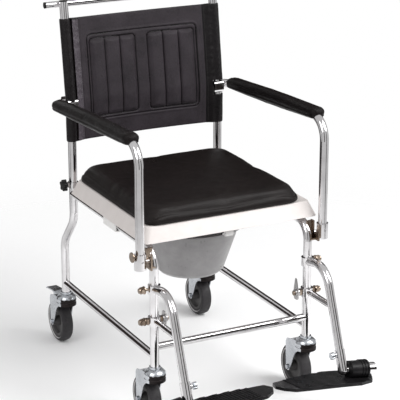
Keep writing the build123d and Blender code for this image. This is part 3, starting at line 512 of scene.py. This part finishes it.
def tube_along(name, points, radius, mat, closed, sides=8):
    """Round strip along a line of points."""
    n = len(points)
    verts, faces = [], []
    for i, p in enumerate(points):
        before = points[i - 1] if closed or i else points[i]
        after = points[(i + 1) % n] if closed or i < n - 1 else points[i]
        along = (after - before).normalized()
        side = along.cross(Vector((0, 0, 1)))
        side = side.normalized() if side.length > 0.05 else Vector((1, 0, 0))
        up = side.cross(along)
        for q in range(sides):
            angle = math.tau * q / sides
            verts.append(p + side * (math.cos(angle) * radius) + up * (math.sin(angle) * radius))
    for i in range(n if closed else n - 1):
        j = (i + 1) % n
        for q in range(sides):
            r = (q + 1) % sides
            faces.append((i * sides + q, i * sides + r, j * sides + r, j * sides + q))
    if not closed:
        faces.append(tuple(range(sides - 1, -1, -1)))
        faces.append(tuple((n - 1) * sides + q for q in range(sides)))
    return make(name, verts, faces, mat)


# ---------------------------------------------------------------- arm pads
def arm_pad(side_name, side):
    low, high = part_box(f"arm_pad_{side_name}")
    middle = (low.x + high.x) / 2
    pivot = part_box(f"arm_tube_{side_name}")
    axis_y, axis_z = pivot[1].y - TUBE_R, 692 * MM
    slope = 29 / 514
    length = high.y - low.y
    count = 60

    def centre(y):
        return axis_z + slope * (axis_y - y) + 4.5 * MM

    rings = []
    for k in range(count + 1):
        t = k / count
        y = high.y - 2 * MM - t * (length - 4 * MM)
        end = min(t, 1 - t) * (length - 4 * MM)
        shrink = math.sqrt(max(0.0, 1 - max(0.0, 1 - end / (15 * MM)) ** 2))
        half_w = (8 + 13 * shrink) * MM
        half_h = (6 + 8.8 * shrink) * MM
        ring = []
        for q in range(40):
            angle = math.tau * q / 40
            c, s = math.cos(angle), math.sin(angle)
            x = math.copysign(abs(c) ** 0.72, c) * half_w
            z = math.copysign(abs(s) ** (0.8 if s > 0 else 0.62), s) * half_h
            ring.append(Vector((middle + x, y, centre(y) + z)))
        rings.append(ring)
    verts, faces = rings_to_mesh(rings)
    pad = make(f"arm_cover_{side_name}", verts, faces, PAD_VINYL)
    inflate(pad, 4 * MM, 4.0, 4 * MM)
    for v in pad.data.vertices:
        y, z = v.co.y, v.co.z - centre(v.co.y)
        across_pad = abs(v.co.x - middle)
        near_end = min(high.y - y, y - low.y)
        if across_pad > 14 * MM:
            # sewn seam along each side
            v.co.x -= math.copysign(1.2 * MM * math.exp(-((z + 4 * MM) / (2.2 * MM)) ** 2), v.co.x - middle)
        # gathers where the cover is drawn in at the ends
        pull = math.exp(-near_end / (14 * MM))
        angle = math.atan2(z, v.co.x - middle)
        v.co.z += 0.7 * MM * pull * math.sin(angle * 11) * (1 if z > 0 else 0.4)
        v.co.z += 0.8 * MM * noise.noise(Vector((v.co.x * 30, y * 14, 4.1 + side)))
    pad.data.update()
    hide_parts(f"arm_pad_{side_name}")
    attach(pad, f"arm_{side_name}")
    tree = BVHTree.FromObject(pad, bpy.context.evaluated_depsgraph_get())
    for face, label in ((1, "a"), (-1, "b")):
        line, normals = [], []
        steps = 150
        for k in range(steps + 1):
            y = high.y - 12 * MM - k / steps * (length - 24 * MM)
            start = Vector((middle + face * 60 * MM, y, centre(y) - 8 * MM))
            hit = tree.ray_cast(start, Vector((-face, 0, 0)))
            if hit[0] is not None:
                line.append(hit[0])
                normals.append(hit[1])
        thread = stitches(
            f"arm_stitches_{side_name}_{label}", line, lambda p, f=face: Vector((f, 0, 0)),
            3.4 * MM, 1.8 * MM, 0.9 * MM, THREAD, f"arm_{side_name}",
        )


# ---------------------------------------------------------------- back sling
SLEEVE_R = 14.3 * MM
BORE_R = 11.3 * MM
SAG = 14 * MM
FRONT_OFF = -8 * MM
BACK_OFF = 3 * MM
BAND = 177 * MM          # where the sleeves are sewn to the panel
FRAME_HALF = 156 * MM    # embossed frame
GROUP_IN = 17.5 * MM     # the two groups of ribs
GROUP_OUT = 149 * MM
GROUP_LOW = 652 * MM
GROUP_TOP = 853 * MM
FRAME_LOW = 645 * MM
FRAME_TOP = 864 * MM
RIBS = 3


def sling_axis(s):
    """Point and direction of the uprights' axis, a distance s above the sling's lower edge."""
    straight = KINK_Z - SLING[0].z - KINK_R * math.tan(LEAN / 2)
    bend = KINK_R * LEAN
    base = Vector((0, UPRIGHT_Y, SLING[0].z))
    if s < straight:
        return base + Vector((0, 0, s)), 0.0
    if s < straight + bend:
        angle = (s - straight) / KINK_R
        return base + Vector((0, KINK_R * (1 - math.cos(angle)), straight + KINK_R * math.sin(angle))), angle
    rest = s - straight - bend
    top = base + Vector((0, KINK_R * (1 - math.cos(LEAN)), straight + KINK_R * math.sin(LEAN)))
    return top + Vector((0, rest * math.sin(LEAN), rest * math.cos(LEAN))), LEAN


def groove(distance, width):
    return math.exp(-((distance / width) ** 2))


def quilting(x, z):
    """Place on the panel's front: distances to the frame line and the rib group, and across a rib."""
    frame_z = z - (FRAME_TOP + FRAME_LOW) / 2
    frame_d = sd_round_box(x, frame_z, FRAME_HALF, (FRAME_TOP - FRAME_LOW) / 2, 12 * MM)
    group_half = (GROUP_OUT - GROUP_IN) / 2
    local_x = abs(x) - (GROUP_IN + GROUP_OUT) / 2
    tall = (GROUP_TOP - GROUP_LOW) / 2
    group_d = sd_round_box(local_x, z - (GROUP_TOP + GROUP_LOW) / 2, group_half, tall, 9 * MM)
    width = 2 * group_half / RIBS
    return frame_d, group_d, (local_x + group_half) / width, width


def seam_cut(x, z):
    """Depth of the pressed lines in the panel's front."""
    frame_d, group_d, across_rib, width = quilting(x, z)
    cut = 2.6 * MM * groove(frame_d, 1.7 * MM) + 3.0 * MM * groove(group_d, 1.7 * MM)
    if group_d < 0 and 0 < round(across_rib) < RIBS:
        cut += 2.8 * MM * groove((across_rib - round(across_rib)) * width, 1.7 * MM)
    return cut


def emboss(x, z):
    """How far the front of the panel stands forward of its plain surface."""
    frame_d, group_d, across_rib, _ = quilting(x, z)
    up = 1.2 * MM * groove(frame_d - 3.6 * MM, 2.4 * MM) - seam_cut(x, z)
    if group_d < 0:
        part = across_rib - math.floor(across_rib)
        puff = math.sqrt(max(0.0, 1 - (2 * part - 1) ** 2))
        up += 5.0 * MM * puff * smooth(0, 12 * MM, -group_d)
    else:
        # loose quilting between the groups and the edges
        up += 1.0 * MM * noise.noise(Vector((x * 16, z * 16, 2.2)))
    return up


def back_sling():
    half = LEG_X
    total = SLING[1].z - SLING[0].z
    height = total - 0.5 * MM
    rows = 150
    # outer loop: front from -X to +X, round the left sleeve, back, round the right sleeve
    reach = 196 * MM
    loop = []
    for k in range(197):
        x = -reach + 2 * reach * k / 196
        loop.append(("front", x))
    for k in range(1, 24):
        loop.append(("left", math.radians(-135 + 270 * k / 24)))
    for k in range(99):
        loop.append(("back", reach - 2 * reach * k / 98))
    for k in range(1, 24):
        loop.append(("right", math.radians(135 + 270 * k / 24)))
    n = len(loop)
    verts, faces = [], []
    for r in range(rows + 1):
        s = height * r / rows
        point, angle = sling_axis(s)
        back_dir = Vector((0, math.cos(angle), -math.sin(angle)))
        hem = math.exp(-min(s, height - s) / (2 * MM))
        for kind, value in loop:
            if kind in ("front", "back"):
                x = value
                sag = SAG * (1 - (x / half) ** 2)
                if kind == "front":
                    d = FRONT_OFF + sag - emboss(x, point.z)
                    d -= 1.1 * MM * smooth(BAND - 0.6 * MM, BAND + 0.6 * MM, abs(x))
                    d += 1.0 * MM * groove(abs(x) - BAND + 1.4 * MM, 1.2 * MM)
                    # the panel's edge climbs onto the front of the sleeve
                    climb = smooth(180 * MM, reach, abs(x))
                    d = d * (1 - climb) + climb * (-SLEEVE_R * 0.72)
                    if BAND < abs(x):
                        crinkle = noise.noise(Vector((x * 60, 3.0 if x > 0 else 7.0, s * 85)))
                        share = 1.2 if x < 0 else 0.6
                        d += 1.1 * MM * crinkle * smooth(BAND, BAND + 5 * MM, abs(x)) * share
                else:
                    d = BACK_OFF + sag
                    climb = smooth(178 * MM, reach, abs(x))
                    d = d * (1 - climb) + climb * (SLEEVE_R * 0.72)
                    d += 0.7 * MM * noise.noise(Vector((x * 14, 5.5, s * 14)))
                    d -= 1.0 * MM * groove(abs(x) - BAND, 1.4 * MM)
                d += (-1 if kind == "back" else 1) * 1.2 * MM * hem
                verts.append(Vector((x, 0, 0)) + point + back_dir * d)
            else:
                sign = 1 if kind == "left" else -1
                radius = SLEEVE_R - 0.8 * MM * hem
                radius += 0.4 * MM * noise.noise(Vector((value * 2, sign * 5.0, s * 30)))
                if kind == "left":
                    x = half + radius * math.cos(value)
                    d = radius * math.sin(value)
                else:
                    x = -half + radius * math.cos(value)
                    d = radius * math.sin(value)
                verts.append(Vector((x, 0, 0)) + point + back_dir * d)
    for r in range(rows):
        for i in range(n):
            j = (i + 1) % n
            faces.append((r * n + i, r * n + j, (r + 1) * n + j, (r + 1) * n + i))
    # bores for the uprights
    sides = 40
    for sign in (1, -1):
        start = len(verts)
        for r in range(rows + 1):
            point, angle = sling_axis(height * r / rows)
            back_dir = Vector((0, math.cos(angle), -math.sin(angle)))
            for q in range(sides):
                turn = math.tau * q / sides
                across = Vector((sign * half + BORE_R * math.cos(turn), 0, 0))
                verts.append(point + across + back_dir * (BORE_R * math.sin(turn)))
        for r in range(rows):
            for q in range(sides):
                p = (q + 1) % sides
                low, high = start + r * sides, start + (r + 1) * sides
                faces.append((low + p, low + q, high + q, high + p))
    ring_0 = n * (rows + 1)
    for r, flip in ((0, True), (rows, False)):
        outer = [r * n + i for i in range(n)]
        holes = [[ring_0 + h * sides * (rows + 1) + r * sides + q for q in range(sides)] for h in (0, 1)]
        point, angle = sling_axis(height * r / rows)
        back_dir = Vector((0, math.cos(angle), -math.sin(angle)))
        flat = [
            [Vector((verts[i].x, (verts[i] - point).dot(back_dir), 0)) for i in group]
            for group in [outer] + holes
        ]
        order = outer + holes[0] + holes[1]
        for tri in tessellate_polygon(flat):
            face = tuple(order[i] for i in tri)
            faces.append(face)
    sling = make("sling_cover", verts, faces, BACK_VINYL)
    bm = bmesh.new()
    bm.from_mesh(sling.data)
    bmesh.ops.recalc_face_normals(bm, faces=bm.faces)
    bm.to_mesh(sling.data)
    bm.free()
    # windows where the arm brackets hold the uprights
    for name in ("left", "right"):
        low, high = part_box(f"arm_bracket_{name}")
        grow = Vector((4, 30, 4)) * MM
        cutter = box_mesh(f"cut_{name}", low - grow, high + grow)
        if name == "left":
            for v in cutter.data.vertices:
                v.co.x = max(v.co.x, low.x - 4 * MM) if v.co.x < half else half + 0.04
        else:
            for v in cutter.data.vertices:
                v.co.x = min(v.co.x, high.x + 4 * MM) if v.co.x > -half else -half - 0.04
        cut = sling.modifiers.new("window", "BOOLEAN")
        cut.operation = "DIFFERENCE"
        cut.object = cutter
        cut.solver = "EXACT"
        apply_all(sling)
        bpy.data.objects.remove(cutter)
    sling.data.polygons.foreach_set("use_smooth", [True] * len(sling.data.polygons))
    sling.data.set_sharp_from_angle(angle=math.radians(50))
    sling.data.materials.append(SLEEVE_AND_GROOVE_SHADE_VINYL)
    sling.data.materials.append(LIT_BAND_HIGHLIGHT_VINYL)
    for face in sling.data.polygons:
        x, z = face.center.x, face.center.z
        forward = face.normal.y < -0.3
        if abs(x) > BAND:
            # front of the sleeve band at negative x gets the painted highlight vinyl; the rest of the
            # sleeves get the darker sleeve vinyl
            face.material_index = 2 if forward and -198 * MM < x < 0 else 1
        # painted shade: the pressed seam lines in the front take the darker sleeve vinyl
        elif forward and seam_cut(x, z) > 1.5 * MM:
            face.material_index = 1
    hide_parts("back_sling")
    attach(sling, "back")
    # thread rows beside the sleeves' seams
    tree = BVHTree.FromObject(sling, bpy.context.evaluated_depsgraph_get())
    for sign, label in ((1, "left"), (-1, "right")):
        for face, where in ((-1, "front"), (1, "rear")):
            line = []
            for k in range(160):
                point, angle = sling_axis(5 * MM + (height - 10 * MM) * k / 159)
                back_dir = Vector((0, math.cos(angle), -math.sin(angle)))
                start = point + Vector((sign * (BAND + 3.5 * MM), 0, 0)) + back_dir * face * 0.05
                hit = tree.ray_cast(start, back_dir * -face)
                if hit[0] is not None:
                    line.append(hit[0])
            thread = stitches(
                f"sling_stitches_{label}_{where}", line, lambda p, f=face: Vector((0, f, 0)),
                3.6 * MM, 2.0 * MM, 0.9 * MM, THREAD, "back",
            )


def box_mesh(name, low, high):
    """Plain closed box used only for cutting."""
    corners = [(x, y, z) for x in (low.x, high.x) for y in (low.y, high.y) for z in (low.z, high.z)]
    faces = [(0, 1, 3, 2), (4, 6, 7, 5), (0, 4, 5, 1), (2, 3, 7, 6), (0, 2, 6, 4), (1, 5, 7, 3)]
    return make(name, corners, faces, BLACK, False)


seat_cushion()
for side_name, side in (("left", 1), ("right", -1)):
    arm_pad(side_name, side)
back_sling()


# ---------------------------------------------------------------- stage, light, camera
def panel(name, centre, facing, width, height, mat):
    """Flat card facing a point."""
    normal = (Vector(facing) - Vector(centre)).normalized()
    side = normal.cross(Vector((0, 0, 1)))
    side = side.normalized() if side.length > 0.01 else Vector((1, 0, 0))
    up = side.cross(normal)
    corners = [
        Vector(centre) + side * (sx * width / 2) + up * (sy * height / 2)
        for sx, sy in ((-1, -1), (1, -1), (1, 1), (-1, 1))
    ]
    card = make(name, corners, [(0, 1, 2, 3)], mat, False)
    return card


def floor_material():
    """Pale floor near the object that thins out to the white surround further away."""
    look = Look("studio_floor", Roughness=0.65, Specular_IOR_Level=0.2)
    look.colour(look.noise(2.0, 3.0), (0.3, (0.925, 0.925, 0.93)), (0.7, (0.94, 0.94, 0.94)))
    reach = look.nodes.new("ShaderNodeVectorMath")
    reach.operation = "LENGTH"
    look.links.new(look.place, reach.inputs[0])
    clear = look.nodes.new("ShaderNodeBsdfTransparent")
    blend = look.nodes.new("ShaderNodeMixShader")
    fade = look.nodes.new("ShaderNodeMapRange")
    fade.interpolation_type = "SMOOTHSTEP"
    fade.inputs["From Min"].default_value = 0.75
    fade.inputs["From Max"].default_value = 1.9
    look.links.new(reach.outputs["Value"], fade.inputs["Value"])
    look.links.new(fade.outputs["Result"], blend.inputs["Fac"])
    look.links.new(look.shader.outputs["BSDF"], blend.inputs[1])
    look.links.new(clear.outputs["BSDF"], blend.inputs[2])
    look.links.new(blend.outputs["Shader"], look.nodes["Material Output"].inputs["Surface"])
    return look.mat


FLOOR_HALF = 9
floor = make(
    "floor",
    [(x * FLOOR_HALF, y * FLOOR_HALF, 0) for x, y in ((-1, -1), (1, -1), (1, 1), (-1, 1))],
    [(0, 1, 2, 3)], floor_material(), False,
)


def surround():
    """White shell that only the camera sees, behind and below everything."""
    look = Look("white_surround", Emission_Color=(1, 1, 1, 1), Emission_Strength=1.0, Specular_IOR_Level=0.0)
    look.shader.inputs["Base Color"].default_value = (0, 0, 0, 1)
    bm = bmesh.new()
    bmesh.ops.create_icosphere(bm, subdivisions=3, radius=12.0)
    mesh = bpy.data.meshes.new("surround")
    bm.to_mesh(mesh)
    bm.free()
    mesh.materials.append(look.mat)
    shell = bpy.data.objects.new("surround", mesh)
    bpy.context.collection.objects.link(shell)
    for ray in ("diffuse", "glossy", "transmission", "volume_scatter", "shadow"):
        setattr(shell, f"visible_{ray}", False)


surround()

card_look = Look("dark_card", Roughness=0.9)
card_look.shader.inputs["Base Color"].default_value = (0.016, 0.010, 0.009, 1)
AIM = Vector((0, FRONT_Y + 0.1733, 0.4957))
VIEW_AZ = math.radians(-27.01)
for index, (turn, distance, width, height, lift) in enumerate((
    (58, 2.6, 1.0, 3.4, 1.2),
    (-122, 2.6, 1.0, 3.4, 1.2),
    (150, 3.2, 0.9, 3.4, 1.2),
    (-64, 3.0, 0.45, 3.4, 1.2),
    (180, 2.6, 1.6, 2.6, 1.5),
    (6, 5.2, 1.5, 3.4, 1.2),
)):
    # turn is measured from the camera's side, as seen from above
    heading = VIEW_AZ + math.radians(turn)
    place = Vector((AIM.x + distance * math.sin(heading), AIM.y - distance * math.cos(heading), lift))
    card = panel(f"card_{index}", place, (AIM.x, AIM.y, lift), width, height, card_look.mat)
    card.visible_camera = False
    card.visible_shadow = False
    card.visible_diffuse = False

world = bpy.data.worlds.new("studio")
world.use_nodes = True
world.node_tree.nodes["Background"].inputs["Color"].default_value = (1, 1, 1, 1)
world.node_tree.nodes["Background"].inputs["Strength"].default_value = 0.62
bpy.context.scene.world = world


def soft_light(name, place, size, power):
    light = bpy.data.lights.new(name, "AREA")
    light.shape = "RECTANGLE"
    light.size = light.size_y = size
    light.energy = power
    obj = bpy.data.objects.new(name, light)
    obj.location = place
    obj.rotation_euler = (AIM - Vector(place)).to_track_quat("-Z", "Y").to_euler()
    bpy.context.collection.objects.link(obj)


soft_light("key", (1.9, -2.2, 3.0), 2.6, 150)
soft_light("fill", (-2.4, -1.4, 2.6), 2.2, 34)

camera_data = bpy.data.cameras.new("camera")
camera_data.lens = 152.0
camera_data.sensor_width = 36.0
camera = bpy.data.objects.new("camera", camera_data)
camera.location = (-1.8140, FRONT_Y - 3.3853, 1.8255)
camera.rotation_euler = (AIM - camera.location).to_track_quat("-Z", "Y").to_euler()
bpy.context.collection.objects.link(camera)
bpy.context.scene.camera = camera
bpy.context.scene.view_settings.view_transform = "Standard"
